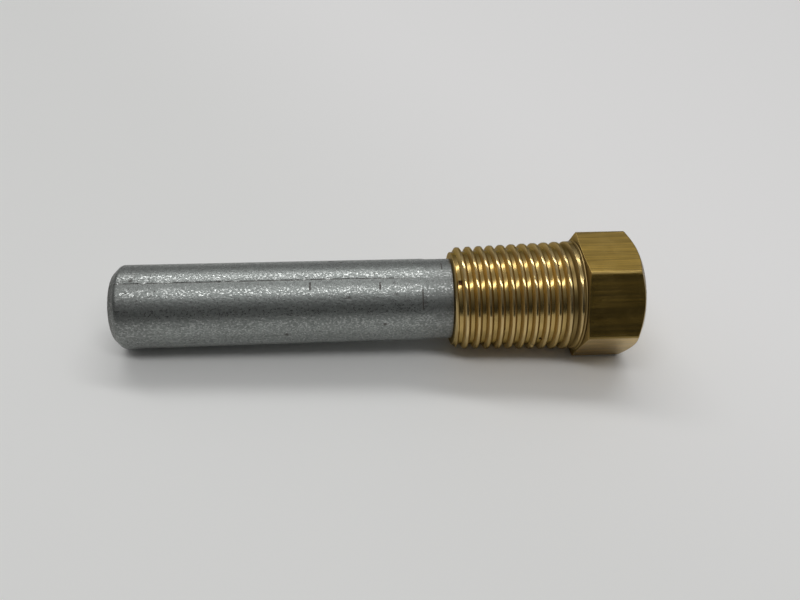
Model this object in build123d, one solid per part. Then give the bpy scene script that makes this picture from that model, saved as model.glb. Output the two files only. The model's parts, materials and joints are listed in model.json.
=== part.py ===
"""Pencil anode for a seawater-cooled engine: a cast zinc rod screwed into a brass hex pipe plug.

Both pieces are drawn along Z with the seat, where the rod's shoulder meets the plug's small end,
at Z = 0: the rod hangs below it and the plug stands above it. The last step lays the anode on its
side, with the hex end toward +X, a flat of the hex facing down and the table at Z = 0.
"""

from build123d import *
from math import atan2, ceil, cos, degrees, radians, tan
import os

# Driving dimensions, in millimetres and degrees unless a name says otherwise.
inch = 25.4

# Tapered pipe thread on the plug, 1/4-18 NPT
pipe_threads_per_inch = 18
pipe_taper = 1 / 16  # gain in diameter for each length
pipe_pitch_dia = 12.126  # at the small end
pipe_crest_flat = 0.178
pipe_thread_reach = 15.9  # from the small end to where the groove has died away
pipe_run_out_turns = 2.0
pipe_clock = -102.0  # where the groove enters the small end, from the upper side of the hex

# Plug
shank_length = 15.95  # small end to the underside of the head
collar_dia = 14.0  # plain bar that the thread runs out into
small_end_dia = 11.8
head_length = 7.45
head_across_flats = 9 / 16 * inch
head_corner_radius = 0.4
head_end_face_dia = 13.2
head_chamfer_angle = 30.0  # of the turned corners, from the head's end face
head_seat_angle = 8.0  # of the underside, which leans back toward the corners

# Screwed joint between rod and plug, drawn plain: 5/16 inch over the thread's crests
joint_dia = 5 / 16 * inch
joint_clearance = 0.06  # radial
stub_length = 9.5
stub_end_chamfer = 0.7
hole_depth = 12.5  # to the foot of its wall
drill_point_angle = 118.0

# Rod
rod_length = 42.0  # seat to tip
rod_tip_dia = 10.55
rod_root_dia = 10.35
rod_tip_chamfer = 1.05
band_length = 3.6  # cleaned up beside the seat
band_dia = 10.2
band_edge_chamfer = 0.15
flash_height = 0.05  # line left by the two halves of the mould
flash_width = 0.2
flash_clock = 12.5  # of the upper line, from the upper side toward the front
mould_halves = 2

# Fixed by geometry, and values that follow from the sizes above
flank_angle = 30.0  # each flank of a 60 degree thread, from square to the axis
hex_half_angle = 30.0  # from the middle of a hexagon's side to its corner
pipe_pitch = inch / pipe_threads_per_inch
pipe_groove_start = -pipe_pitch  # one turn before the small end
plug_length = shank_length + head_length


def crest_height(width):
    """Height of the crest above the level at which the thread's groove is this wide."""
    return (pipe_pitch - width - pipe_crest_flat) / (2 * tan(radians(flank_angle)))


pipe_depth = crest_height(0)
pipe_addendum = crest_height(pipe_pitch / 2)
pipe_crest_dia = pipe_pitch_dia + 2 * pipe_addendum


def crest_dia_at(height):
    """Diameter over the tapered thread's crests at this height above the small end."""
    return min(pipe_crest_dia + pipe_taper * height, collar_dia)


def helix_line(turns, radius, gain, height, angle):
    """Helix of the pipe thread's pitch, whose radius gains this much in each turn."""
    cone_angle = degrees(atan2(gain, pipe_pitch))
    slant_pitch = pipe_pitch / cos(radians(cone_angle))
    line = Edge.make_helix(slant_pitch, pipe_pitch * turns, radius, angle=cone_angle)
    return Pos(0, 0, height) * Rot(0, 0, angle) * line


def groove_stretches(gain, run_out_gain):
    """Split the groove into stretches of at most one turn, as pairs of turns and gain per turn."""
    all_turns = (pipe_thread_reach - pipe_groove_start) / pipe_pitch
    stretches = []
    for turns, turn_gain in (
        (all_turns - pipe_run_out_turns, gain),
        (pipe_run_out_turns, run_out_gain),
    ):
        count = ceil(turns)
        stretches += [(turns / count, turn_gain)] * count
    return stretches


def thread_groove():
    """Cutter for the tapered thread's groove, from below the small end until it has died away.

    Its section is a 60 degree vee, carried half a crest past the surface.
    """
    slope = tan(radians(flank_angle))
    reach = pipe_depth + pipe_crest_flat / (4 * slope)
    corners = [(0, 0), (reach * slope, reach), (-reach * slope, reach)]
    gain = pipe_taper * pipe_pitch / 2
    height = pipe_groove_start
    radius = crest_dia_at(height) / 2 - pipe_depth
    angle = pipe_clock + 360 * height / pipe_pitch
    faces = []
    ends = []
    for turns, turn_gain in groove_stretches(gain, gain + reach / pipe_run_out_turns):
        lines = [
            helix_line(turns, radius + out, turn_gain, height + up, angle)
            for up, out in corners
        ]
        for line, next_line in zip(lines, lines[1:] + lines[:1]):
            faces.append(Face.make_surface_from_curves(line, next_line))
        ends += [[line @ 0 for line in lines], [line @ 1 for line in lines]]
        height += pipe_pitch * turns
        radius += turn_gain * turns
        angle += 360 * turns
    for ring in (ends[0], ends[-1]):
        faces.append(Face(Wire.make_polygon(ring, close=True)))
    return Solid(Shell(faces))


def turned(*points):
    """Solid turned from a closed outline of radius and height points."""
    outline = Polyline(*[(radius, 0, height) for radius, height in points], close=True)
    return revolve(make_face(outline), Axis.Z)


def plug_shank():
    """Tapered shank with its pipe thread, from the small end to the underside of the head."""
    crest_radius = pipe_crest_dia / 2
    small_end_radius = small_end_dia / 2
    collar_radius = collar_dia / 2
    lead_in = crest_radius - small_end_radius
    collar_start = min((collar_dia - pipe_crest_dia) / pipe_taper, shank_length)
    blank = turned(
        (0, 0),
        (small_end_radius, 0),
        (crest_dia_at(lead_in) / 2, lead_in),
        (crest_dia_at(collar_start) / 2, collar_start),
        (collar_radius, shank_length),
        (0, shank_length),
    )
    return blank - thread_groove()


def plug_head():
    """Hex head with a leaning underside and the corners of its end turned off."""
    corner_radius = head_across_flats / 2 / cos(radians(hex_half_angle))
    slope = tan(radians(head_chamfer_angle))
    seat_slope = tan(radians(head_seat_angle))
    collar_radius = collar_dia / 2
    end_radius = head_end_face_dia / 2
    outline = RegularPolygon(head_across_flats / 2, 6, major_radius=False)
    outline = fillet(outline.vertices(), head_corner_radius)
    bar = extrude(Pos(0, 0, shank_length) * Rot(0, 0, hex_half_angle) * outline, head_length)
    foot = (0, 0, shank_length)
    foot_edge = (collar_radius, 0, shank_length)
    foot_corner = (corner_radius, 0, shank_length + (corner_radius - collar_radius) * seat_slope)
    top_corner = (corner_radius, 0, plug_length - (corner_radius - end_radius) * slope)
    top_edge = (end_radius, 0, plug_length)
    top = (0, 0, plug_length)
    # The two slopes are drawn as curves, so that they meet the flats in free-form edges.
    corners_off = revolve(
        make_face(
            Line(foot, foot_edge)
            + Bezier(foot_edge, foot_corner)
            + Line(foot_corner, top_corner)
            + Bezier(top_corner, top_edge)
            + Line(top_edge, top)
            + Line(top, foot)
        ),
        Axis.Z,
    )
    return bar & corners_off


def joint_hole():
    """Cutter for the blind hole in the small end that takes the rod's stub."""
    hole_radius = joint_dia / 2 + joint_clearance
    point = hole_radius / tan(radians(drill_point_angle / 2))
    return turned(
        (0, 0),
        (hole_radius, 0),
        (hole_radius, hole_depth),
        (0, hole_depth + point),
    )


def brass_plug():
    """Hex-headed pipe plug, one piece of bar, with the blind hole for the rod."""
    return plug_shank() + plug_head() - joint_hole()


def mould_flash():
    """Thin raised line along the rod, on its upper side, that the mould's two halves leave."""
    tip_radius = rod_tip_dia / 2
    root_radius = rod_root_dia / 2
    outline = Polyline(
        (0, 0, rod_tip_chamfer - rod_length),
        (tip_radius + flash_height, 0, rod_tip_chamfer - rod_length),
        (root_radius + flash_height, 0, -band_length),
        (0, 0, -band_length),
        close=True,
    )
    return extrude(make_face(outline), flash_width / 2, both=True)


def zinc_rod():
    """Cast zinc rod with its chamfered tip, its cleaned band and the stub that enters the plug."""
    tip_radius = rod_tip_dia / 2
    band_radius = band_dia / 2
    stub_radius = joint_dia / 2
    rod = turned(
        (0, -rod_length),
        (tip_radius - rod_tip_chamfer, -rod_length),
        (tip_radius, rod_tip_chamfer - rod_length),
        (rod_root_dia / 2, -band_length),
        (band_radius, -band_length),
        (band_radius, -band_edge_chamfer),
        (band_radius - band_edge_chamfer, 0),
        (stub_radius, 0),
        (stub_radius, stub_length - stub_end_chamfer),
        (stub_radius - stub_end_chamfer, stub_length),
        (0, stub_length),
    )
    for half in range(mould_halves):
        rod += Rot(0, 0, flash_clock + half * 360 / mould_halves) * mould_flash()
    return rod


def rest_tilt():
    """Angle of the axis when the rod's tip and the widest part of the plug touch the table."""
    tip_height = rod_tip_chamfer - rod_length
    flat_radius = head_across_flats / 2
    collar_radius = collar_dia / 2
    slope = tan(radians(head_seat_angle))
    collar_start = (collar_dia - pipe_crest_dia) / pipe_taper
    touching = [
        (flat_radius, shank_length + (flat_radius - collar_radius) * slope),
        (crest_dia_at(shank_length) / 2, min(collar_start, shank_length)),
    ]
    return max(
        degrees(atan2(radius - rod_tip_dia / 2, height - tip_height))
        for radius, height in touching
    )


def lay_down(pieces):
    """Lay the assembled pieces on the table, centred over the origin, hex end toward +X."""
    on_side = Rot(0, -rest_tilt(), 0) * Rot(180, 0, 0) * Rot(0, 90, 0)
    lying = {name: on_side * piece for name, piece in pieces.items()}
    box = Compound(list(lying.values())).bounding_box()
    centre = box.center()
    to_origin = Pos(-centre.X, -centre.Y, -box.min.Z)
    return {name: to_origin * piece for name, piece in lying.items()}


os.makedirs("parts", exist_ok=True)
for name, piece in lay_down({"brass_plug": brass_plug(), "zinc_rod": zinc_rod()}).items():
    export_step(piece, f"parts/{name}.step")
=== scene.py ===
"""Pencil anode: builds the dressed brass plug and zinc rod, their finishes and their stage."""

import json
import math

import bmesh
import bpy
from bpy.props import FloatProperty, FloatVectorProperty, PointerProperty
from mathutils import Euler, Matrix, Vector, noise


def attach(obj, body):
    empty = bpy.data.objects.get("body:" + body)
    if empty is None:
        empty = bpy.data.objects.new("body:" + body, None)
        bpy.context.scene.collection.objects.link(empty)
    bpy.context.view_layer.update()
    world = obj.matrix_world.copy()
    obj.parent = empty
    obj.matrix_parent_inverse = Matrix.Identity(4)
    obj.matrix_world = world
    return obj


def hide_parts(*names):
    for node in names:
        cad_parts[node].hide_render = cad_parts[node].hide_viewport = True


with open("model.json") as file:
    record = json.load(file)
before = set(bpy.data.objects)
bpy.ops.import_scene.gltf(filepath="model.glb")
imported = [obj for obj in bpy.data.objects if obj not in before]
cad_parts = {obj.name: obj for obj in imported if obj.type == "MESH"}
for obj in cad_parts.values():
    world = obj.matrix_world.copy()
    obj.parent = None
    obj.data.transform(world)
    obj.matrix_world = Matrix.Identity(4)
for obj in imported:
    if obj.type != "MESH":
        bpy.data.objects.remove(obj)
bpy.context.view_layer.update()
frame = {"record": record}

bl_info = {
    "name": "Pencil anode",
    "version": (1, 0, 0),
    "blender": (4, 5, 0),
    "location": "3D View > Sidebar > Anode",
    "description": "Adds a zinc pencil anode with its brass pipe plug, and a stage for it",
    "category": "Add Mesh",
}

MM = 0.001
INCH = 25.4 * MM

# The anode's own directions, from the pipe thread's mount: at the seat the rod meets the plug.
MOUNTS = {mount["name"]: mount for mount in frame["record"]["mounts"]}
SEAT = Vector(MOUNTS["pipe_thread"]["pos_m"])
ALONG = -Vector(MOUNTS["pipe_thread"]["axis"]).normalized()
FRONT = Vector((0, -1, 0))
UP = FRONT.cross(ALONG)

FLANK = math.radians(30)  # each flank of the thread, from square to the axis
HALF_SIDE = math.radians(30)  # from the middle of a hexagon's side to its corner


# ---- Settings ----

def length(name, description, default):
    """A size in metres."""
    return FloatProperty(
        name=name, description=description, default=default, unit="LENGTH", precision=5
    )


def angle(name, description, degrees):
    """An angle, given in degrees and kept in radians."""
    return FloatProperty(
        name=name, description=description, default=math.radians(degrees), unit="ROTATION",
        subtype="ANGLE",
    )


def colour(name, description, red, green, blue):
    """A linear colour."""
    return FloatVectorProperty(
        name=name, description=description, default=(red, green, blue), subtype="COLOR",
        min=0, max=1,
    )


def power(name, description, watts):
    """The power of a lamp."""
    return FloatProperty(name=name, description=description, default=watts, unit="POWER")


def share(name, description, default):
    """A plain number from 0 to 1."""
    return FloatProperty(
        name=name, description=description, default=default, min=0, max=1, subtype="FACTOR"
    )


class AnodePlugSettings(bpy.types.PropertyGroup):
    """Sizes and colours of the brass plug."""

    pitch: length("Pitch", "Axial distance between crests", INCH / 18)
    crest_radius: length("Crest radius", "Over the crests at the small end", 6.5205 * MM)
    taper: FloatProperty(name="Taper", description="Gain in radius for each length", default=1 / 32)
    crest_flat: length("Crest flat", "Width of the flat on each crest", 0.27 * MM)
    crest_round: length("Crest rounding", "Radius on both edges of the crest", 0.04 * MM)
    depth: length("Thread depth", "Crest to root", 0.6 * MM)
    root_round: length("Root rounding", "Radius on both edges of the root", 0.08 * MM)
    clock: angle("Thread start", "Where the groove enters the small end, from the top", -102)
    reach: length("Thread reach", "From the small end to the end of the groove", 15.4 * MM)
    run_out_turns: FloatProperty(
        name="Run-out turns", description="Turns over which the groove dies away", default=0.35
    )
    small_end_radius: length("Small end radius", "Edge of the small end face", 5.9 * MM)
    collar_radius: length("Collar radius", "Plain bar beside the head", 7 * MM)
    collar: length("Collar length", "Small end to the groove before the ring", 15.6 * MM)
    ring_radius: length("Ring radius", "Of the thin ring beside the head", 7.1 * MM)
    shank: length("Shank length", "Small end to the underside of the head", 16.06 * MM)
    head: length("Head length", "Of the hex", 7.34 * MM)
    seat_lean: angle("Underside lean", "Of the head's underside, back toward the corners", 8)
    half_flats: length("Half across flats", "Hex axis to flat", 9 / 32 * INCH)
    corner_round: length("Corner rounding", "Radius on the six long edges", 0.403 * MM)
    end_radius: length("End face radius", "Flat part of the head's end", 6.6 * MM)
    chamfer: angle("Corner chamfer", "Of the turned corners, from the end face", 30)
    edge_round: length("Edge rounding", "Where the chamfers meet the flats", 0.11 * MM)
    hole_radius: length("Hole radius", "Of the blind hole for the rod", 4.029 * MM)
    hole_depth: length("Hole depth", "To the foot of its wall", 12.5 * MM)
    drill_point: angle("Drill point", "Included angle at the bottom of the hole", 118)
    bright: colour("Bright brass", "Freshly cut crests", 0.72, 0.55, 0.27)
    dull: colour("Dull brass", "Roots and tarnished places", 0.57, 0.405, 0.15)
    drawn: colour("Drawn brass", "Sides of the hex bar", 0.84, 0.55, 0.12)
    drawn_dull: colour("Dull drawn brass", "Edges and streaks of the bar", 0.45, 0.318, 0.105)
    # Stain colour, also used for the painted shade beside the head's underside
    stain_and_shade: colour("Stain", "Dirt in the roots and corners", 0.10, 0.07, 0.03)


class AnodeRodSettings(bpy.types.PropertyGroup):
    """Sizes and colours of the zinc rod."""

    length: length("Length", "Seat to tip", 42 * MM)
    tip_radius: length("Tip radius", "At the outer end", 5.275 * MM)
    root_radius: length("Root radius", "Beside the cleaned band", 5.175 * MM)
    tip_chamfer: length("Tip chamfer", "Along and across", 1.05 * MM)
    tip_round: length("Tip rounding", "Radius on both edges of the tip chamfer", 0.7 * MM)
    band: length("Band length", "Cleaned up beside the seat", 3.6 * MM)
    band_radius: length("Band radius", "Of the cleaned band", 5.1 * MM)
    band_chamfer: length("Band chamfer", "On the shoulder's edge", 0.15 * MM)
    stub: length("Stub length", "Inside the plug", 9.5 * MM)
    stub_radius: length("Stub radius", "Inside the plug", 3.969 * MM)
    stub_chamfer: length("Stub chamfer", "On the stub's end", 0.7 * MM)
    flash_clock: angle("Mould line", "Upper mould line, from the top toward the front", 15.5)
    flash_drift: angle("Mould line drift", "Further turn of it near the seat", 4)
    flash_height: length("Mould line height", "How far it stands up", 0.05 * MM)
    flash_width: length("Mould line width", "At its foot", 0.2 * MM)
    skin: length("Cast skin", "Depth of the casting's roughness", 0.014 * MM)
    pits: length("Pits", "Depth of the larger pits", 0.06 * MM)
    light: colour("Light zinc", "Worn high places", 0.305, 0.325, 0.312)
    dark: colour("Dark zinc", "Low places", 0.205, 0.218, 0.209)
    frost: colour("Frost", "Fine pale grains", 0.50, 0.51, 0.50)
    # Also the colour of the painted shade at the foot of each mould line
    speck_and_shade: colour("Specks", "Pits and dirt", 0.095, 0.085, 0.078)


class AnodeStageSettings(bpy.types.PropertyGroup):
    """Floor, lamps, room light and camera."""

    floor: colour("Floor", "Pale table top", 0.90, 0.902, 0.888)
    # Painted light: the floor's colour toward the back and the right, as if more lamp light fell
    # there
    floor_painted_light: colour("Lighter floor", "Table top to the back and the right", 0.985, 0.98, 0.975)
    backdrop: colour("Backdrop", "Seen past the floor", 0.66, 0.66, 0.66)
    back_power: power("Back lamp power", "Of the strip lamp behind", 3.05)
    top_power: power("Top lamp power", "Of the strip lamp overhead", 2.95)
    back_lift: angle("Back lamp lift", "From the back's horizon, over the top", 58.5)
    top_lift: angle("Top lamp lift", "From the back's horizon, over the top", 107.5)
    lamp_turn: angle("Lamp turn", "Of both strip lamps, about their beam", -14)
    lamp_length: length("Lamp length", "Of both strip lamps", 1.25)
    lamp_width: length("Lamp width", "Of both strip lamps", 0.13)
    front_light: share("Front light", "Brightness on the viewer's side", 0.038)
    back_light: share("Back light", "Brightness at the back", 0.225)
    ceiling_light: share("Ceiling light", "Brightness that the ceiling adds", 0.16)
    side_light: share("Side light", "Brightness left at both sides", 0.8)
    camera_place: FloatVectorProperty(
        name="Camera place", description="In the anode's frame", subtype="TRANSLATION",
        unit="LENGTH", default=(-0.005912, -0.074622, 0.072623),
    )
    camera_turn: FloatVectorProperty(
        name="Camera turn", description="X, Y and Z rotation", subtype="EULER", unit="ROTATION",
        default=tuple(math.radians(turn) for turn in (48.4955, -3.1961, -3.8541)),
    )
    lens: FloatProperty(name="Focal length", description="In millimetres", default=35.118)


# ---- Surfaces built from rows ----

def spot(radius, turn, height):
    """Place at this radius, angle from the top toward the front, and height along the axis."""
    return SEAT + ALONG * height + (UP * math.cos(turn) + FRONT * math.sin(turn)) * radius


def new_object(name, data):
    """Put data into the scene as an object."""
    made = bpy.data.objects.new(name, data)
    bpy.context.scene.collection.objects.link(made)
    return made


def mesh_object(name, mesh, materials):
    """Turn a finished bmesh into an object with these materials."""
    data = bpy.data.meshes.new(name)
    mesh.to_mesh(data)
    mesh.free()
    for material in materials:
        data.materials.append(material)
    return new_object(name, data)


def away_from(centre, value, period=2 * math.pi):
    """How far a value lies past the nearest repeat of a centre."""
    return (value - centre + period / 2) % period - period / 2


def steps(start, end, count):
    """Evenly spaced values from start to end, both included."""
    return [start + (end - start) * index / count for index in range(count + 1)]


def column_angles(step, centres, offsets):
    """Angles of the columns: even steps, with closer ones on both sides of each centre."""
    full = 2 * math.pi
    clear = max(offsets) + step / 3
    turns = {
        turn for turn in steps(0, full, round(full / step))[:-1]
        if all(abs(away_from(centre, turn)) > clear for centre in centres)
    }
    turns.update(
        (centre + side * offset) % full
        for centre in centres for offset in offsets for side in (-1, 1)
    )
    return sorted(turns)


class Skin:
    """A closed surface grown row by row, with one vertex for each column."""

    def __init__(self, columns, mask):
        self.mesh = bmesh.new()
        self.mask = self.mesh.verts.layers.float.new(mask)
        self.columns = columns
        self.last = None
        self.slot = 0

    def vertex(self, radius, turn, height, level=0.0):
        """Add a vertex. Its level, from 0 to 1, goes into the mask that the finishes read."""
        made = self.mesh.verts.new(spot(radius, turn, height))
        made[self.mask] = level
        return made

    def join(self, row):
        """Join a row to the last one. A row's last entry is where it goes on past the seam."""
        if self.last:
            for index in range(len(row) - 1):
                corners = dict.fromkeys(
                    (self.last[index], self.last[index + 1], row[index + 1], row[index])
                )
                if len(corners) > 2:
                    self.mesh.faces.new(corners).material_index = self.slot
        self.last = row

    def pole(self, height, level=0.0):
        """A row that is one point on the axis."""
        self.join([self.vertex(0, 0, height, level)] * (len(self.columns) + 1))

    def ring(self, place, level=0.0):
        """A row whose place, as radius and height, and level may be functions of the angle."""
        row = []
        for turn in self.columns:
            radius, height = place(turn) if callable(place) else place
            here = level(turn) if callable(level) else level
            row.append(self.vertex(radius, turn, height, here))
        self.join(row + row[:1])
        return row

    def finish(self, name, materials, crease):
        """Make the object, smooth but for edges sharper than crease."""
        bmesh.ops.recalc_face_normals(self.mesh, faces=self.mesh.faces)
        made = mesh_object(name, self.mesh, materials)
        made.data.shade_smooth()
        made.data.set_sharp_from_angle(angle=crease)
        return made


def dent(radius, turn, height, centre_turn, centre_height, size):
    """Depth, from 0 to 1, of a round dent at a place on the surface."""
    across = away_from(centre_turn, turn) * radius
    away = math.hypot(across, height - centre_height) / size
    return max(0.0, 1 - away * away) ** 2


# ---- Brass plug ----

PLUG_STEP = math.radians(1.4)  # between columns, away from the hex's corners
CORNER_COLUMNS = [math.radians(offset) for offset in (0, 0.45, 0.9, 1.3, 1.65, 2.1)]
CORNER_REACH = math.radians(2.6)  # how far the dull long edges reach into the flats
PLUG_CREASE = math.radians(38)

FACE_ROW = 0.4  # share of the way over the small end face
FLAT_ROWS = (0.01, *steps(0.04, 0.96, 10), 0.99, 1)  # shares of a flat's length
CHAMFER_ROW = 2.5  # times the first row's distance from the flat
UNDERSIDE_EDGE = 1 / 4  # rounding of the underside's edge, as a share of the other edge's
SOFT_END = 1 / 3  # the same for the step onto the end face
END_ROWS = (0.97, 0.7, 0.4, 0.15)  # shares of the end face's radius

# Levels of the ridge mask, which runs from 0 in roots and corners to 1 on crests
HOLE_LEVEL = 0.3
SMALL_END_LEVEL = 0.5
COLLAR_LEVEL = 0.8
UNDERSIDE_LEVELS = (0.1, 0.3)
LOW_EDGE_LEVEL = 0.4
END_LEVEL = 0.9

# Rows over the thin ring: a radius, how far they lie under it in millimetres, their share of the
# way to the head, and their level
RING_ROWS = (
    ("collar_radius", 0.07, 0.13, 0.35),
    ("collar_radius", 0.08, 0.26, 0.2),
    ("collar_radius", 0, 0.36, 0.4),
    ("ring_radius", 0.02, 0.44, 0.6),
    ("ring_radius", 0, 0.54, 0.7),
    ("ring_radius", 0, 0.66, 0.7),
    ("ring_radius", 0.05, 0.75, 0.5),
    ("collar_radius", 0.03, 0.83, 0.15),
    ("collar_radius", 0.05, 0.93, 0),
)


def groove_section(plug):
    """Points of the groove across one pitch, as offsets from its middle and depths."""
    mouth = (plug.pitch - plug.crest_flat) / 2
    root = plug.root_round
    turned = math.pi / 2 - FLANK
    flat = mouth - plug.depth * math.tan(FLANK) - root * math.tan(turned / 2)
    side = [(0, plug.depth)] + [
        (flat + root * math.sin(turned * part), plug.depth - root * (1 - math.cos(turned * part)))
        for part in steps(0, 1, 4)
    ]
    cut = plug.crest_round * math.tan(FLANK)
    shaved = plug.crest_round * (1 / math.cos(FLANK) - 1)
    flank_top = (mouth - cut * math.sin(FLANK), cut * math.cos(FLANK))
    low = side[-1]
    for part in (1 / 3, 2 / 3):
        side.append(tuple(a + (b - a) * part for a, b in zip(low, flank_top)))
    side += [
        flank_top,
        (mouth + shaved * math.sin(FLANK), shaved * math.cos(FLANK)),
        (mouth + cut, 0),
        (plug.pitch / 2, 0),
    ]
    return [(-offset, depth) for offset, depth in side[:0:-1]] + side[:-1]


class Shank:
    """The tapered thread's surface: its radius at any angle and height."""

    # Depth in millimetres and noise scale of the even wear on the crests
    WEAR = ((0.011, 1.3), (0.005, 4.1))

    # Angle in degrees, and height, size and depth in millimetres, of the nicks on the crests
    NICKS = (
        (12.9, 12.95, 0.30, 0.20),
        (116.3, 9.83, 0.42, 0.20),
        (118.4, 12.2, 0.40, 0.17),
        (205.0, 6.4, 0.35, 0.14),
        (288.0, 3.7, 0.30, 0.12),
    )

    def __init__(self, plug):
        self.plug = plug
        self.section = groove_section(plug)
        self.deepest = max(depth for offset, depth in self.section)
        self.first = -plug.pitch * plug.clock / (2 * math.pi)

    def depth_at(self, offset):
        """Depth of the full groove at an offset from its middle."""
        offset = away_from(0, offset, self.plug.pitch)
        for (low, low_depth), (high, high_depth) in zip(self.section, self.section[1:]):
            if low <= offset <= high:
                return low_depth + (high_depth - low_depth) * (offset - low) / (high - low)
        return 0.0

    def radius(self, turn, height, offset):
        """Radius of the surface, and how near it is to the crest, from 0 to 1."""
        plug = self.plug
        crest = min(plug.crest_radius + plug.taper * height, plug.collar_radius)
        blank = min(plug.small_end_radius + max(height, 0), crest)
        run_out = plug.run_out_turns * plug.pitch
        risen = max(0.0, (height - offset - plug.reach + run_out) / run_out)
        depth = max(0.0, self.depth_at(offset) - risen * self.deepest)
        near = 1 - depth / self.deepest
        worn = self.wear(crest, turn, height) * near ** 2
        return min(blank, crest - depth) - worn, near

    def wear(self, radius, turn, height):
        """How far the crest is worn and nicked at this place."""
        place = Vector((radius * math.cos(turn), radius * math.sin(turn), height)) / MM
        worn = sum(depth * (1 + noise.noise(place * scale)) for depth, scale in self.WEAR)
        for degrees, nick_height, size, depth in self.NICKS:
            centre = math.radians(degrees)
            worn += depth * dent(radius, turn, height, centre, nick_height * MM, size * MM)
        return worn * MM

    def helix(self):
        """Start height and offset of each helical row, from a turn below the small end."""
        plug = self.plug
        turns = range(-3, math.ceil(plug.collar / plug.pitch) + 2)
        rows = [
            (self.first + turn * plug.pitch + offset, offset)
            for turn in turns for offset, depth in self.section
        ]
        start = max(index for index, row in enumerate(rows) if row[0] <= -plug.pitch)
        end = min(index for index, row in enumerate(rows) if row[0] >= plug.collar)
        return rows[start:end + 1]

    def grow(self, skin):
        """Add the small end's edge, the thread and the collar's edge to the skin."""
        plug = self.plug

        def edge(height):
            def place(turn):
                offset = height - self.first - plug.pitch * turn / (2 * math.pi)
                return self.radius(turn, height, offset)[0], height
            return place

        skin.slot = 0
        low = skin.ring(edge(0), SMALL_END_LEVEL)
        place = edge(plug.collar)
        high = [
            skin.vertex(place(turn)[0], turn, plug.collar, COLLAR_LEVEL) for turn in skin.columns
        ]
        rows = []
        for start, offset in self.helix():
            row = []
            for index, turn in enumerate(skin.columns):
                height = start + plug.pitch * turn / (2 * math.pi)
                if height <= 0:
                    row.append(low[index])
                elif height >= plug.collar:
                    row.append(high[index])
                else:
                    radius, near = self.radius(turn, height, offset)
                    row.append(skin.vertex(radius, turn, height, near))
            rows.append(row)
        for index, row in enumerate(rows):
            above = index + len(self.section)
            skin.join(row + [rows[above][0] if above < len(rows) else high[0]])
        skin.join(high + high[:1])


def from_side(turn):
    """Angle from the middle of the nearest side of the hexagon, with a flat facing up."""
    return abs(away_from(0, turn, 2 * HALF_SIDE))


def hex_radius(plug, turn):
    """Radius of the hexagon with its rounded corners."""
    side = from_side(turn)
    inner = plug.half_flats - plug.corner_round
    if side < math.atan(inner * math.tan(HALF_SIDE) / plug.half_flats):
        return plug.half_flats / math.cos(side)
    from_corner = HALF_SIDE - side
    centre = inner / math.cos(HALF_SIDE)
    reach = plug.corner_round ** 2 - (centre * math.sin(from_corner)) ** 2
    return centre * math.cos(from_corner) + math.sqrt(max(reach, 0))


def grow_head(skin, plug):
    """Add the ring and the hex head's underside, flats, chamfers and end face to the skin."""
    end = plug.shank + plug.head
    leans = {-1: plug.seat_lean, 1: plug.chamfer}
    slopes = {side: math.tan(lean) for side, lean in leans.items()}
    half_turned = {side: (math.pi / 2 - lean) / 2 for side, lean in leans.items()}
    rounds = {-1: plug.edge_round * UNDERSIDE_EDGE, 1: plug.edge_round}
    cuts = {side: rounds[side] * math.tan(half) for side, half in half_turned.items()}

    def edges_at(turn):
        full = hex_radius(plug, turn)
        return full, {
            -1: plug.shank + (full - plug.collar_radius) * slopes[-1],
            1: end - (full - plug.end_radius) * slopes[1],
        }

    def on_slope(side, back):
        def place(turn):
            full, edges = edges_at(turn)
            return full - back, edges[side] + side * back * slopes[side]
        return place

    def on_edge(side):
        half = half_turned[side]
        shaved = rounds[side] * (1 / math.cos(half) - 1)

        def place(turn):
            full, edges = edges_at(turn)
            return full - shaved * math.cos(half), edges[side] - side * shaved * math.sin(half)
        return place

    def on_flat(part):
        def place(turn):
            full, edges = edges_at(turn)
            low, high = edges[-1] + cuts[-1], edges[1] - cuts[1]
            return full, low + (high - low) * part
        return place

    def off_corner(turn):
        return min(1.0, (HALF_SIDE - from_side(turn)) / CORNER_REACH)

    skin.slot = 0
    gap = plug.shank - plug.collar
    for start, under, part, level in RING_ROWS:
        skin.ring((getattr(plug, start) - under * MM, plug.collar + gap * part), level)
    skin.ring((plug.collar_radius, plug.shank), UNDERSIDE_LEVELS[0])
    skin.ring(on_slope(-1, cuts[-1] * math.cos(plug.seat_lean)), UNDERSIDE_LEVELS[1])
    skin.ring(on_edge(-1), UNDERSIDE_LEVELS[1])
    skin.slot = 1
    skin.ring(on_flat(0), LOW_EDGE_LEVEL)
    for part in FLAT_ROWS:
        skin.ring(on_flat(part), off_corner)
    skin.slot = 0
    back = cuts[1] * math.cos(plug.chamfer)
    skin.ring(on_edge(1), 1)
    skin.ring(on_slope(1, back), 1)
    skin.ring(on_slope(1, back * CHAMFER_ROW), 1)
    soft = plug.edge_round * SOFT_END
    skin.ring((plug.end_radius + soft, end - soft * slopes[1]), 1)
    skin.ring((plug.end_radius - soft, end), 1)
    for part in END_ROWS:
        skin.ring((plug.end_radius * part, end), END_LEVEL)
    skin.pole(end, END_LEVEL)


def build_plug(plug):
    """Make the plug's surface, from the bottom of its hole round to the middle of its head."""
    corners = [HALF_SIDE * (2 * index + 1) for index in range(6)]
    skin = Skin(column_angles(PLUG_STEP, corners, CORNER_COLUMNS), "ridge")
    skin.slot = 2
    skin.pole(plug.hole_depth + plug.hole_radius / math.tan(plug.drill_point / 2))
    for height in (plug.hole_depth, plug.hole_depth / 2, 0):
        skin.ring((plug.hole_radius, height), HOLE_LEVEL)
    skin.slot = 0
    face = plug.small_end_radius - plug.hole_radius
    skin.ring((plug.hole_radius + FACE_ROW * face, 0), SMALL_END_LEVEL)
    Shank(plug).grow(skin)
    grow_head(skin, plug)
    materials = [brass_turned(plug), brass_drawn(plug), brass_drilled(plug)]
    return skin.finish("plug", materials, PLUG_CREASE)


# ---- Zinc rod ----

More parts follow.
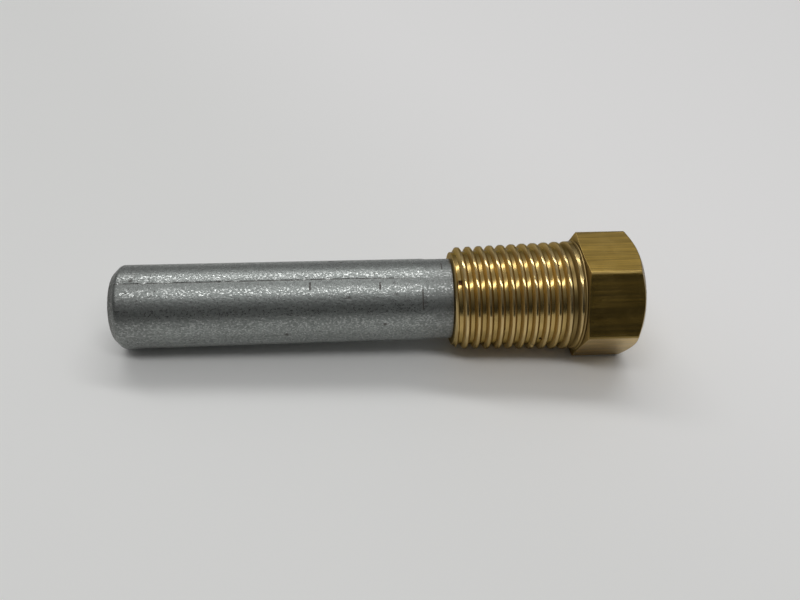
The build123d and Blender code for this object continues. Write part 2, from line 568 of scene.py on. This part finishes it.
ROD_STEP = math.radians(1.2)  # between columns, away from the mould lines
FLASH_COLUMNS = (0, 0.48, 1, 1.5)  # in half widths of a mould line
ROD_CREASE = math.radians(40)
DRIFT_REACH = 14 * MM  # from the seat, where the mould lines start to turn away
FLASH_FADE = 9  # how steeply the mould lines fade out beside the cleaned band
FLASH_UNEVEN = 0.2  # how much their height wanders
FLASH_SMOOTH = 0.8  # how much of the roughness they hide

TIP_FACE_ROWS = (0.25, 0.5, 0.75)  # shares of the tip face's radius
ROUND_ROWS = 7  # over each rounded edge of the tip
SLANT_ROWS = 4  # over the chamfer between them
BODY_ROWS = 235
BODY_CLEAR = (0.25 * MM, 0.15 * MM)  # of the chamfer, and of the step to the cleaned band
BAND_ROWS = 22
BAND_CLEAR = 0.6 * MM  # of the same step

# Rows over the step down to the cleaned band: share of the step, and millimetres past its middle
STEP_ROWS = ((0.05, -0.05), (0.2, 0.08), (0.5, 0.22), (0.8, 0.36), (0.95, 0.48))

# Share of the casting's roughness on each stretch
TIP_GRAIN = 0.7
STEP_GRAIN = 0.9
BAND_GRAIN = 0.75


class CastSkin:
    """Roughness of the casting: how far each place lies under the smooth surface."""

    FLASH_STEEPNESS = 1.9  # of the mould line's sides
    # Painted shade on the front foot of each mould line, the side away from the light from behind
    SHADE_FOOT = (1.5, 0.6)  # middle and half width of its dark foot, in half widths of the line
    PIT_KINDS = ((0.62, 0.5), (1.25, 0.34))  # noise scale, and share of its cells with a pit
    PIT_SIZE = (0.10, 0.16)  # the smallest, and how much larger the largest is
    PIT_START = Vector((7, 3, 11))  # shift of the pits' pattern
    COARSE_START = Vector((0, 0, 5))  # shift of the coarse grains' pattern
    LUCK_SCALE = 9.7
    STRETCH = 0.75  # of every pattern along the rod
    SWELL_SCALE = 0.33
    COARSE_SCALE = 2.4
    COARSE_SHARE = 0.6

    def __init__(self, rod):
        self.rod = rod

    def from_flash(self, turn):
        """Angle from the nearer of the two mould lines, in half widths of a line."""
        half = self.rod.flash_width / 2 / self.rod.root_radius
        return away_from(self.rod.flash_clock, turn, math.pi) / half

    def flash(self, turn):
        """Height of the two mould lines, from 0 to 1."""
        return min(1.0, max(0.0, self.FLASH_STEEPNESS * (1 - abs(self.from_flash(turn)))))

    def flash_shade(self, turn):
        """Where painted shade lies on the front foot of each mould line, the side away from the
        light from behind, from 0 to 1.
        """
        middle, half = self.SHADE_FOOT
        return max(0.0, 1 - abs(self.from_flash(turn) - middle) / half)

    def pit(self, place):
        """Depth of the pits at a place, from 0 to 1."""
        least, more = self.PIT_SIZE
        depth = 0.0
        for scale, part in self.PIT_KINDS:
            distances, centres = noise.voronoi(place * scale + self.PIT_START)
            luck = 0.5 + 0.5 * noise.cell(centres[0] * self.LUCK_SCALE)
            size = least + more * luck
            if luck < part and distances[0] < size:
                depth = max(depth, 1 - (distances[0] / size) ** 2)
        return depth

    def at(self, radius, turn, height):
        """Sunk depth and pit mask at a place on the rod."""
        across, up = radius * math.cos(turn), radius * math.sin(turn)
        place = Vector((across, up, height * self.STRETCH)) / MM
        swell = 0.5 + 0.5 * noise.noise(place * self.SWELL_SCALE)
        coarse = 0.5 + 0.5 * noise.noise(place * self.COARSE_SCALE + self.COARSE_START)
        pit = self.pit(place)
        rest = 1 - self.COARSE_SHARE
        skin = self.rod.skin * (rest * swell + self.COARSE_SHARE * coarse)
        return skin + self.rod.pits * pit * (rest + self.COARSE_SHARE * coarse), pit


def tip_profile(rod):
    """Radius and height of the rows over the tip's chamfer and its two rounded edges."""
    turned = math.pi / 4
    cut = rod.tip_round * math.tan(turned / 2)
    edge = rod.tip_radius - rod.tip_chamfer
    foot = -rod.length + rod.tip_chamfer
    slant = (rod.tip_chamfer - cut * math.sqrt(2)) / rod.tip_chamfer
    return [
        (edge - cut + rod.tip_round * math.sin(turn),
         -rod.length + rod.tip_round * (1 - math.cos(turn)))
        for turn in steps(0, turned, ROUND_ROWS)
    ] + [
        (edge + rod.tip_chamfer * part, -rod.length + rod.tip_chamfer * part)
        for part in steps(1 - slant, slant, SLANT_ROWS)[1:-1]
    ] + [
        (rod.tip_radius - rod.tip_round * (1 - math.cos(turn)),
         foot + cut - rod.tip_round * math.sin(turn))
        for turn in steps(turned, 0, ROUND_ROWS)
    ]


def build_rod(rod):
    """Make the rod's surface, from the middle of its tip to the end of its stub."""
    half_flash = rod.flash_width / 2 / rod.root_radius
    offsets = [half_flash * part for part in FLASH_COLUMNS]
    lines = [rod.flash_clock, rod.flash_clock + math.pi]
    skin = Skin(column_angles(ROD_STEP, lines, offsets), "pit")
    cast = CastSkin(rod)
    foot = -rod.length + rod.tip_chamfer

    def rough(radius, height, grain=1.0, flash=0.0):
        """A row with this share of the casting's roughness and of the mould lines."""
        row = []
        drift = rod.flash_drift * max(0, 1 + height / DRIFT_REACH) ** 2
        for turn in skin.columns:
            sunk, pit = cast.at(radius, turn + drift, height)
            ridge = cast.flash(turn) * flash
            wander = FLASH_UNEVEN * (noise.noise(Vector((0, turn, height / MM))) - 1)
            raised = rod.flash_height * ridge * (1 + wander)
            sunk *= grain * (1 - FLASH_SMOOTH * ridge)
            # The pit mask also takes the painted shade at the front foot of each mould line
            shade = max(pit * grain, cast.flash_shade(turn) * flash)
            row.append(skin.vertex(radius - sunk + raised, turn + drift, height, shade))
        skin.join(row + row[:1])

    skin.slot = 0
    skin.pole(-rod.length)
    edge = rod.tip_radius - rod.tip_chamfer
    for part in TIP_FACE_ROWS:
        skin.ring((edge * part, -rod.length))
    for radius, height in tip_profile(rod):
        risen = 1 - (foot - height) / rod.tip_chamfer
        rough(radius, height, TIP_GRAIN, max(0, min(1, risen)))
    span = -rod.band - foot
    start, end = foot + BODY_CLEAR[0], -rod.band - BODY_CLEAR[1]
    for height in steps(start, end, BODY_ROWS):
        part = (height - foot) / span
        radius = rod.tip_radius + (rod.root_radius - rod.tip_radius) * part
        rough(radius, height, 1, min(1, (1 - part) * FLASH_FADE))
    for part, past in STEP_ROWS:
        radius = rod.root_radius + (rod.band_radius - rod.root_radius) * part
        rough(radius, -rod.band + past * MM, STEP_GRAIN)
    skin.slot = 1
    for height in steps(-rod.band + BAND_CLEAR, -rod.band_chamfer, BAND_ROWS):
        rough(rod.band_radius, height, BAND_GRAIN)
    skin.ring((rod.band_radius - rod.band_chamfer, 0))
    skin.ring((rod.stub_radius, 0))
    skin.ring((rod.stub_radius, rod.stub - rod.stub_chamfer))
    skin.ring((rod.stub_radius - rod.stub_chamfer, rod.stub))
    skin.pole(rod.stub)
    return skin.finish("rod", [zinc_cast(rod), zinc_cleaned(rod)], ROD_CREASE)


# ---- Finishes ----

FLOAT = "NodeSocketFloat"
VECTOR = "NodeSocketVector"


def add(tree, kind, inputs=None, **settings):
    """Add a node. An input is a plain value or another node's output."""
    made = tree.nodes.new(kind)
    for name, value in settings.items():
        setattr(made, name, value)
    for name, value in (inputs or {}).items():
        if isinstance(value, bpy.types.NodeSocket):
            tree.links.new(value, made.inputs[name])
        else:
            made.inputs[name].default_value = value
    return made


def new_group(name, inputs, outputs):
    """Start a shader node group. Inputs are (name, kind, default); outputs are (name, kind)."""
    tree = bpy.data.node_groups.new(name, "ShaderNodeTree")
    for socket_name, kind, default in inputs:
        socket = tree.interface.new_socket(socket_name, in_out="INPUT", socket_type=kind)
        if default is not None:
            socket.default_value = default
    for socket_name, kind in outputs:
        tree.interface.new_socket(socket_name, in_out="OUTPUT", socket_type=kind)
    start = add(tree, "NodeGroupInput", location=(-900, 0))
    end = add(tree, "NodeGroupOutput", location=(900, 0))
    return tree, start.outputs, end.inputs


def use(tree, name, build, inputs=None):
    """Place a node group, built when first asked for, in a material. Return its outputs."""
    group = bpy.data.node_groups.get(name) or build(name)
    return add(tree, "ShaderNodeGroup", inputs, node_tree=group).outputs


def calculate(tree, operation, first, second=0.0, clamp=False):
    """Result of one operation on two values."""
    made = add(tree, "ShaderNodeMath", {0: first, 1: second}, operation=operation, use_clamp=clamp)
    return made.outputs[0]


def vectors(tree, operation, first, second, output="Vector"):
    """Result of one operation on two vectors."""
    made = add(tree, "ShaderNodeVectorMath", {0: first, 1: second}, operation=operation)
    return made.outputs[output]


def plus(tree, first, second):
    """Sum of two values."""
    return calculate(tree, "ADD", first, second)


def times(tree, first, second, clamp=False):
    """Product of two values, kept within 0 and 1 at will."""
    return calculate(tree, "MULTIPLY", first, second, clamp)


def largest(tree, first, *others):
    """The largest of some values."""
    for other in others:
        first = calculate(tree, "MAXIMUM", first, other)
    return first


def spread(tree, value, low, high, to_low=0.0, to_high=1.0):
    """Spread a value's range from low to high over another range, smoothly."""
    made = add(
        tree, "ShaderNodeMapRange",
        {"Value": value, "From Min": low, "From Max": high, "To Min": to_low, "To Max": to_high},
        interpolation_type="SMOOTHSTEP",
    )
    return made.outputs["Result"]


def blend(tree, part, first, second):
    """Colour between two colours, by a part from 0 to 1."""
    made = add(tree, "ShaderNodeMix", {"Factor": part}, data_type="RGBA")
    for name, value in (("A_Color", first), ("B_Color", second)):
        socket = next(one for one in made.inputs if one.identifier == name)
        if isinstance(value, bpy.types.NodeSocket):
            tree.links.new(value, socket)
        else:
            socket.default_value = (*value, 1)
    return next(one for one in made.outputs if one.identifier == "Result_Color")


def place_group(name):
    """Group: place on the piece in millimetres, as up, front and along, and its angle."""
    tree, _, put = new_group(name, [], [("Place", VECTOR), ("Angle", FLOAT), ("Along", FLOAT)])
    here = add(tree, "ShaderNodeTexCoord").outputs["Object"]
    from_seat = vectors(tree, "SUBTRACT", here, SEAT)
    parts = [
        vectors(tree, "DOT_PRODUCT", from_seat, direction / MM, "Value")
        for direction in (UP, FRONT, ALONG)
    ]
    whole = add(tree, "ShaderNodeCombineXYZ", {0: parts[0], 1: parts[1], 2: parts[2]})
    turn = calculate(tree, "ARCTAN2", parts[1], parts[0])
    tree.links.new(whole.outputs[0], put["Place"])
    tree.links.new(turn, put["Angle"])
    tree.links.new(parts[2], put["Along"])
    return tree


def mottle_group(name):
    """Group: cloudy patches of a chosen size, stretched at will, from 0 to 1."""
    tree, given, put = new_group(
        name,
        [("Place", VECTOR, None), ("Stretch", VECTOR, (1, 1, 1)), ("Scale", FLOAT, 1.0),
         ("Detail", FLOAT, 3.0), ("Low", FLOAT, 0.3), ("High", FLOAT, 0.7)],
        [("Amount", FLOAT)],
    )
    stretched = vectors(tree, "MULTIPLY", given["Place"], given["Stretch"])
    cloud = add(
        tree, "ShaderNodeTexNoise",
        {"Vector": stretched, "Scale": given["Scale"], "Detail": given["Detail"], "Roughness": 0.6},
    ).outputs["Fac"]
    tree.links.new(spread(tree, cloud, given["Low"], given["High"]), put["Amount"])
    return tree


def scratch_group(name):
    """Group: mask of one short cut round the piece."""
    tree, given, put = new_group(
        name,
        [("Along", FLOAT, 0.0), ("Angle", FLOAT, 0.0), ("Height", FLOAT, 0.0),
         ("Middle", FLOAT, 0.0), ("Half length", FLOAT, 0.1), ("Half width", FLOAT, 0.1)],
        [("Amount", FLOAT)],
    )

    def fade(value, middle, half):
        away = calculate(tree, "ABSOLUTE", calculate(tree, "SUBTRACT", value, middle))
        return calculate(tree, "SUBTRACT", 1.0, calculate(tree, "DIVIDE", away, half), clamp=True)

    across = fade(given["Along"], given["Height"], given["Half width"])
    lengthwise = fade(given["Angle"], given["Middle"], given["Half length"])
    solid = times(tree, times(tree, across, 2.0, clamp=True),
                  times(tree, lengthwise, 4.0, clamp=True))
    tree.links.new(solid, put["Amount"])
    return tree


def new_material(name, metallic=1.0, edge_tint=(1, 1, 1)):
    """Start a material and return it with its tree and its shader."""
    material = bpy.data.materials.new(name)
    material.use_nodes = True
    tree = material.node_tree
    shader = tree.nodes["Principled BSDF"]
    shader.inputs["Metallic"].default_value = metallic
    shader.inputs["Specular Tint"].default_value = (*edge_tint, 1)
    return material, tree, shader


def mask(tree, name):
    """A mask that the surface carries."""
    return add(tree, "ShaderNodeAttribute", attribute_name=name).outputs["Fac"]


def bump(tree, shader, height, depth):
    """Raise the surface by a height from 0 to 1, times a depth in millimetres."""
    made = add(tree, "ShaderNodeBump", {"Height": height, "Distance": depth * MM, "Strength": 1.0})
    tree.links.new(made.outputs["Normal"], shader.inputs["Normal"])


def marked(tree, here, marks):
    """Mask of short marks round the piece, each given by its height in millimetres, its middle and
    half length in degrees from the top toward the front, and its half width in millimetres."""
    return largest(tree, *(
        use(
            tree, "Anode scratch", scratch_group,
            {"Along": here["Along"], "Angle": here["Angle"], "Height": height,
             "Middle": math.radians(middle), "Half length": math.radians(half_length),
             "Half width": half_width},
        )["Amount"]
        for height, middle, half_length, half_width in marks
    ))


def patch_maker(tree, place):
    """A function that adds mottled patches at this place."""
    def patches(**inputs):
        return use(tree, "Anode mottle", mottle_group, {"Place": place, **inputs})["Amount"]
    return patches


# Stretches of the ridge mask over which brass brightens, its roots end and its flanks begin and end
LIT = (0.15, 0.95)
ROOT_END = (0.0, 0.35)
FLANK_START = (0.02, 0.2)
FLANK_END = (0.8, 0.98)

BROAD_SCALE = 0.22  # of the broad streaks, against the fine lines
STREAKED = 0.5  # how far the broad streaks dull the colour
BROAD_RELIEF = 0.8
BRASS_DIRT_AND_SHADE_ROUGH = 0.3
PATCHY_ROUGH = 0.3

# Painted shade in the thread's start notch and in nicks on the thread, given as marked takes them
DENTS = (
    (0.6, 30.5, 3.6, 0.34),
    (12.95, 12.9, 1.4, 0.16),
    (10.85, 107, 2.5, 0.22),
    (6.1, 88, 1.2, 0.12),
)
DENT_PAINTED_SHADE = (0.03, 0.013, 0.006)

# Painted shade beside the head's underside: millimetres from the underside between which it grows
# and ends
HEAD_SHADE_START = (-3.16, -1.56)
HEAD_SHADE_END = (-0.06, 0.19)
HEAD_SHADE_THIN = 0.3  # share of it on the crests


def brass(name, plug, bright, dull, *, lines, line_scale, roughness, low_rough, depth, dirt,
          patchy, lined, edge_tint=(1, 1, 1), flank_rough=0.0, head_shade=0.0, dents=()):
    """Brass with fine tool lines, brighter on its ridges and stained in its roots.

    The tool lines are stretched by lines, as fine as line_scale and as dark as lined. patchy is how
    far brightness and roughness wander. low_rough and flank_rough add roughness in the roots and on
    the thread's flanks. depth is in millimetres. head_shade paints shade beside the head's
    underside, and dents paints shade into the marked dents.
    """
    material, tree, shader = new_material(name, edge_tint=edge_tint)
    here = use(tree, "Anode place", place_group)
    patches = patch_maker(tree, here["Place"])
    ridge = mask(tree, "ridge")

    fine = patches(Stretch=lines, Scale=line_scale, Detail=4.0, Low=0.25, High=0.75)
    broad = patches(Stretch=lines, Scale=line_scale * BROAD_SCALE, Detail=2.0, Low=0.3, High=0.7)
    cloud = patches(Scale=0.35, Detail=4.0, Low=0.35, High=0.7)
    grit = patches(Scale=3.2, Detail=3.0, Low=0.62, High=0.74)

    worn = times(tree, spread(tree, ridge, *LIT), spread(tree, cloud, 0, 1, 1.0, 1 - patchy))
    base = blend(tree, worn, dull, bright)
    streaked = blend(tree, times(tree, broad, STREAKED), base, dull)
    streaked = blend(tree, times(tree, fine, lined), streaked, plug.stain_and_shade)

    low = spread(tree, ridge, *ROOT_END, 1.0, 0.0)
    dirt_and_shade = times(tree, largest(tree, times(tree, low, cloud), grit), dirt)
    # Painted shade beside the head's underside, deeper in the roots than on the crests
    if head_shade:
        from_head = calculate(tree, "SUBTRACT", here["Along"], plug.shank / MM)
        beside = times(tree, spread(tree, from_head, *HEAD_SHADE_START),
                       spread(tree, from_head, *HEAD_SHADE_END, 1.0, 0.0))
        shade_depth = spread(tree, ridge, 0.1, 0.9, head_shade, head_shade * HEAD_SHADE_THIN)
        dirt_and_shade = largest(tree, dirt_and_shade, times(tree, beside, shade_depth))
    # Dirt, and the painted shade beside the head, blend the colour toward the stain colour
    final = blend(tree, dirt_and_shade, streaked, plug.stain_and_shade)
    # Paint shade into the dents and the start notch
    if dents:
        final = blend(tree, marked(tree, here, dents), final, DENT_PAINTED_SHADE)
    tree.links.new(final, shader.inputs["Base Color"])

    rough = plus(tree, spread(tree, cloud, 0, 1, roughness, roughness + PATCHY_ROUGH * patchy),
                 times(tree, dirt_and_shade, BRASS_DIRT_AND_SHADE_ROUGH))
    rough = plus(tree, rough, spread(tree, ridge, 0.0, 1.0, low_rough, 0.0))
    if flank_rough:
        flank = times(tree, spread(tree, ridge, *FLANK_START, 0.0, flank_rough),
                      spread(tree, ridge, *FLANK_END, 1.0, 0.0))
        rough = plus(tree, rough, flank)
    tree.links.new(rough, shader.inputs["Roughness"])
    bump(tree, shader, plus(tree, fine, times(tree, broad, BROAD_RELIEF)), depth)
    return material


def brass_turned(plug):
    """Brass cut on a lathe: lines run round the axis."""
    return brass(
        "brass turned", plug, plug.bright, plug.dull, lines=(0.05, 0.05, 1), line_scale=6.0,
        roughness=0.13, low_rough=0.04, depth=0.002, dirt=0.2, patchy=0.2, lined=0.15,
        edge_tint=(0.35, 0.33, 0.29), flank_rough=0.25, head_shade=0.62, dents=DENTS,
    )


def brass_drawn(plug):
    """Drawn hex bar: lines run along the axis."""
    return brass(
        "brass drawn", plug, plug.drawn, plug.drawn_dull, lines=(1, 1, 0.03), line_scale=3.2,
        roughness=0.19, low_rough=0.33, depth=0.004, dirt=0.03, patchy=0.25, lined=0.6,
    )


def brass_drilled(plug):
    """Bored brass, out of sight behind the rod's stub."""
    return brass(
        "brass drilled", plug, plug.bright, plug.dull, lines=(0.1, 0.1, 1), line_scale=5.0,
        roughness=0.3, low_rough=0.1, depth=0.006, dirt=0.9, patchy=0.3, lined=0.1,
    )


CAST_STRETCH = (1, 1, 0.7)  # marks of the mould are a little longer along the rod
CLEANED_STRETCH = (0.8, 0.8, 1)  # marks of the lathe are a little longer round it
GRAIN_STRETCH = (1, 1, 0.8)
GRAIN_DEPTH = 0.0085  # millimetres
FINE_RELIEF = 0.25
CUT_RELIEF = 1.5

# Parts of the effects in the colour, the pits' part also taking the painted shade at the mould
# lines' foot, and what dull places, and dirt and painted shade, add to the roughness
CLOUDED = 0.2
FROSTED = 0.3
SHINING = 0.55
PITS_AND_SHADE = 0.85
DULL_ROUGH = 0.23
ZINC_DIRT_AND_SHADE_ROUGH = 0.25

# Darkening on the rod: two distances in millimetres from the tip or the seat, and its amount at
# both. Specks of dirt gather toward the tip, and the rod also grows darker toward the tip and
# toward the seat
SPECKED_FROM_TIP = (1, 13, 0.7, 0.12)
DARKER_FROM_TIP = ((0.1, 1.7, 0.5, 0.0), (0, 8, 0.2, 0.0))
DARKER_FROM_SEAT = (-5, -0.5, 0.0, 0.2)

# Cuts, given as marked takes them
CAST_CUTS = ((-17.64, 26.5, 6.5, 0.15), (-9.13, 28.5, 6, 0.15), (-3.94, 49, 17, 0.11))
CLEANED_CUTS = ((-1.35, -4, 9, 0.1),)


def zinc(name, rod, lines, roughness, marks):
    """Zinc with a mottled, specked surface, a few short cuts round it, and painted shade at the
    foot of its mould lines.
    """
    material, tree, shader = new_material(name)
    here = use(tree, "Anode place", place_group)
    patches = patch_maker(tree, here["Place"])
    # The pit mask holds the pits and the painted shade at the foot of each mould line
    pit = mask(tree, "pit")

    cloud = patches(Scale=0.3, Detail=4.0, Low=0.3, High=0.7)
    grain = patches(Stretch=lines, Scale=3.4, Detail=4.0, Low=0.3, High=0.7)
    fine = patches(Stretch=GRAIN_STRETCH, Scale=7.5, Detail=2.0, Low=0.3, High=0.7)
    frost = patches(Stretch=GRAIN_STRETCH, Scale=5.6, Detail=3.0, Low=0.55, High=0.75)
    specks = patches(Stretch=GRAIN_STRETCH, Scale=2.9, Detail=3.0, Low=0.6, High=0.69)
    shine = patches(Stretch=CAST_STRETCH, Scale=5.0, Detail=2.0, Low=0.46, High=0.66)
    cuts = marked(tree, here, marks)

    tone = plus(tree, times(tree, cloud, CLOUDED), times(tree, grain, 1 - CLOUDED))
    base = blend(tree, tone, rod.dark, rod.light)
    pale = largest(tree, times(tree, frost, FROSTED), times(tree, shine, SHINING))
    base = blend(tree, pale, base, rod.frost)

    from_tip = plus(tree, here["Along"], rod.length / MM)
    specked = times(tree, specks, spread(tree, from_tip, *SPECKED_FROM_TIP))
    darker_ends = [spread(tree, from_tip, *stretch) for stretch in DARKER_FROM_TIP]
    darker_ends.append(spread(tree, here["Along"], *DARKER_FROM_SEAT))
    pits_and_shade = times(tree, largest(tree, pit, cuts), PITS_AND_SHADE)
    # Specks, pits, cuts, the painted shade at the mould lines' foot, and the darkening toward both
    # ends
    dark = largest(tree, specked, pits_and_shade, *darker_ends)
    tree.links.new(blend(tree, dark, base, rod.speck_and_shade), shader.inputs["Base Color"])

    rough = plus(tree, spread(tree, shine, 0, 1, roughness + DULL_ROUGH, roughness),
                 times(tree, dark, ZINC_DIRT_AND_SHADE_ROUGH))
    tree.links.new(rough, shader.inputs["Roughness"])
    relief = calculate(tree, "SUBTRACT", plus(tree, grain, times(tree, fine, FINE_RELIEF)),
                       times(tree, cuts, CUT_RELIEF))
    bump(tree, shader, relief, GRAIN_DEPTH)
    return material


def zinc_cast(rod):
    """Cast zinc as it left the mould."""
    return zinc("zinc cast", rod, CAST_STRETCH, 0.22, CAST_CUTS)


def zinc_cleaned(rod):
    """Cast zinc skimmed on a lathe beside the seat."""
    return zinc("zinc cleaned", rod, CLEANED_STRETCH, 0.24, CLEANED_CUTS)


# ---- Stage ----

FLOOR_RADIUS = 3  # metres
FLOOR_ROUGH = 0.55
FLOOR_SHADE = 0.98  # brightness of its darker patches, against the rest
# Painted light on the floor: it grows lighter toward the back and, more steeply, toward the right
PAINTED_LIGHT_SPAN = (-0.02, 0.12)  # metres across which the floor grows lighter
RIGHTWARD = 1.6  # how much more it does so to the right than to the back


def build_floor(stage):
    """Pale table top, faintly uneven in tone, with painted light that makes it lighter toward the
    back and the right.
    """
    material, tree, shader = new_material("table top", 0.0)
    here = add(tree, "ShaderNodeTexCoord").outputs["Object"]
    cloud = patch_maker(tree, here)(Scale=9.0, Low=0.2, High=0.8)
    shade = tuple(part * FLOOR_SHADE for part in stage.floor)
    uneven = blend(tree, cloud, stage.floor, shade)
    parts = add(tree, "ShaderNodeSeparateXYZ", {0: here}).outputs
    aside = plus(tree, times(tree, parts["X"], RIGHTWARD), parts["Y"])
    # Blend in the painted light toward the back and the right
    final = blend(tree, spread(tree, aside, *PAINTED_LIGHT_SPAN), uneven, stage.floor_painted_light)
    tree.links.new(final, shader.inputs["Base Color"])
    shader.inputs["Roughness"].default_value = FLOOR_ROUGH
    mesh = bmesh.new()
    bmesh.ops.create_circle(mesh, cap_ends=True, segments=96, radius=FLOOR_RADIUS)
    made = mesh_object("table_top", mesh, [material])


def build_lamp(name, stage, watts, lift):
    """Long strip lamp across the anode, a metre away, lifted from the back over the top."""
    data = bpy.data.lights.new(name, "AREA")
    data.shape = "RECTANGLE"
    data.size = stage.lamp_length
    data.size_y = stage.lamp_width
    data.energy = watts
    made = new_object(name, data)
    made.location = Vector((0, math.cos(lift), math.sin(lift)))
    made.rotation_euler = Euler((lift - math.pi / 2, 0, 0))
    made.rotation_euler.rotate_axis("Z", stage.lamp_turn)


# Stretches of a direction's Y, Z and sideways parts over which the room's brightness changes
BACKWARD = (-0.45, 0.35)
OVERHEAD = (0.25, 0.85)
SIDEWAYS = (0.3, 0.95)


def build_world(stage):
    """Soft room light: dim toward the viewer, brighter at the back, and a plain pale backdrop."""
    world = bpy.data.worlds.new("room")
    world.use_nodes = True
    bpy.context.scene.world = world
    tree = world.node_tree
    direction = add(tree, "ShaderNodeTexCoord").outputs["Generated"]
    parts = add(tree, "ShaderNodeSeparateXYZ", {0: direction}).outputs
    back = spread(tree, parts["Y"], *BACKWARD, stage.front_light, stage.back_light)
    ceiling = spread(tree, parts["Z"], *OVERHEAD, 0.0, stage.ceiling_light)
    sideways = calculate(tree, "ABSOLUTE", parts["X"])
    aside = spread(tree, sideways, *SIDEWAYS, 1.0, stage.side_light)
    level = times(tree, plus(tree, back, ceiling), aside)
    grey = add(tree, "ShaderNodeCombineColor", {0: level, 1: level, 2: level}).outputs[0]
    seen = add(tree, "ShaderNodeLightPath").outputs["Is Camera Ray"]
    room = blend(tree, seen, grey, stage.backdrop)
    tree.links.new(room, tree.nodes["Background"].inputs["Color"])


def build_camera(stage):
    """Camera that looks down at the anode."""
    data = bpy.data.cameras.new("camera")
    data.lens = stage.lens
    data.clip_start = 0.005
    made = new_object("camera", data)
    made.location = stage.camera_place
    made.rotation_euler = stage.camera_turn
    bpy.context.scene.camera = made


# ---- Operators and panel ----

class ANODE_OT_add_plug(bpy.types.Operator):
    """Add the brass plug: hex head, collar, taper thread and the hole for the rod"""

    bl_idname = "anode.add_plug"
    bl_label = "Add Brass Plug"

    def execute(self, context):
        plug = build_plug(context.scene.anode_plug)
        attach(plug, "root")
        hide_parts("brass_plug")
        return {"FINISHED"}


class ANODE_OT_add_rod(bpy.types.Operator):
    """Add the cast zinc rod with its mould lines and its cleaned band"""

    bl_idname = "anode.add_rod"
    bl_label = "Add Zinc Rod"

    def execute(self, context):
        rod = build_rod(context.scene.anode_rod)
        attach(rod, "root")
        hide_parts("zinc_rod")
        return {"FINISHED"}


class ANODE_OT_set_stage(bpy.types.Operator):
    """Set the table top, the strip lamps, the room light and the camera"""

    bl_idname = "anode.set_stage"
    bl_label = "Set Stage"

    def execute(self, context):
        stage = context.scene.anode_stage
        build_floor(stage)
        build_lamp("lamp_back", stage, stage.back_power, stage.back_lift)
        build_lamp("lamp_top", stage, stage.top_power, stage.top_lift)
        build_world(stage)
        build_camera(stage)
        context.scene.view_settings.view_transform = "Standard"
        return {"FINISHED"}


class VIEW3D_PT_anode(bpy.types.Panel):
    """Buttons and settings for the anode"""

    bl_label = "Pencil Anode"
    bl_space_type = "VIEW_3D"
    bl_region_type = "UI"
    bl_category = "Anode"

    def draw(self, context):
        for operator, settings in (
            ("anode.add_plug", context.scene.anode_plug),
            ("anode.add_rod", context.scene.anode_rod),
            ("anode.set_stage", context.scene.anode_stage),
        ):
            box = self.layout.box()
            box.operator(operator)
            for name in settings.bl_rna.properties.keys():
                if name not in ("rna_type", "name"):
                    box.prop(settings, name)


CLASSES = (
    AnodePlugSettings,
    AnodeRodSettings,
    AnodeStageSettings,
    ANODE_OT_add_plug,
    ANODE_OT_add_rod,
    ANODE_OT_set_stage,
    VIEW3D_PT_anode,
)


def register():
    """Register the classes and hang their settings on the scene."""
    for one in CLASSES:
        bpy.utils.register_class(one)
    bpy.types.Scene.anode_plug = PointerProperty(type=AnodePlugSettings)
    bpy.types.Scene.anode_rod = PointerProperty(type=AnodeRodSettings)
    bpy.types.Scene.anode_stage = PointerProperty(type=AnodeStageSettings)


def unregister():
    """Take the settings and the classes away again."""
    del bpy.types.Scene.anode_plug
    del bpy.types.Scene.anode_rod
    del bpy.types.Scene.anode_stage
    for one in reversed(CLASSES):
        bpy.utils.unregister_class(one)


def main():
    """Build the whole anode on its stage."""
    register()
    bpy.ops.anode.add_plug()
    bpy.ops.anode.add_rod()
    bpy.ops.anode.set_stage()


if __name__ == "__main__":
    main()
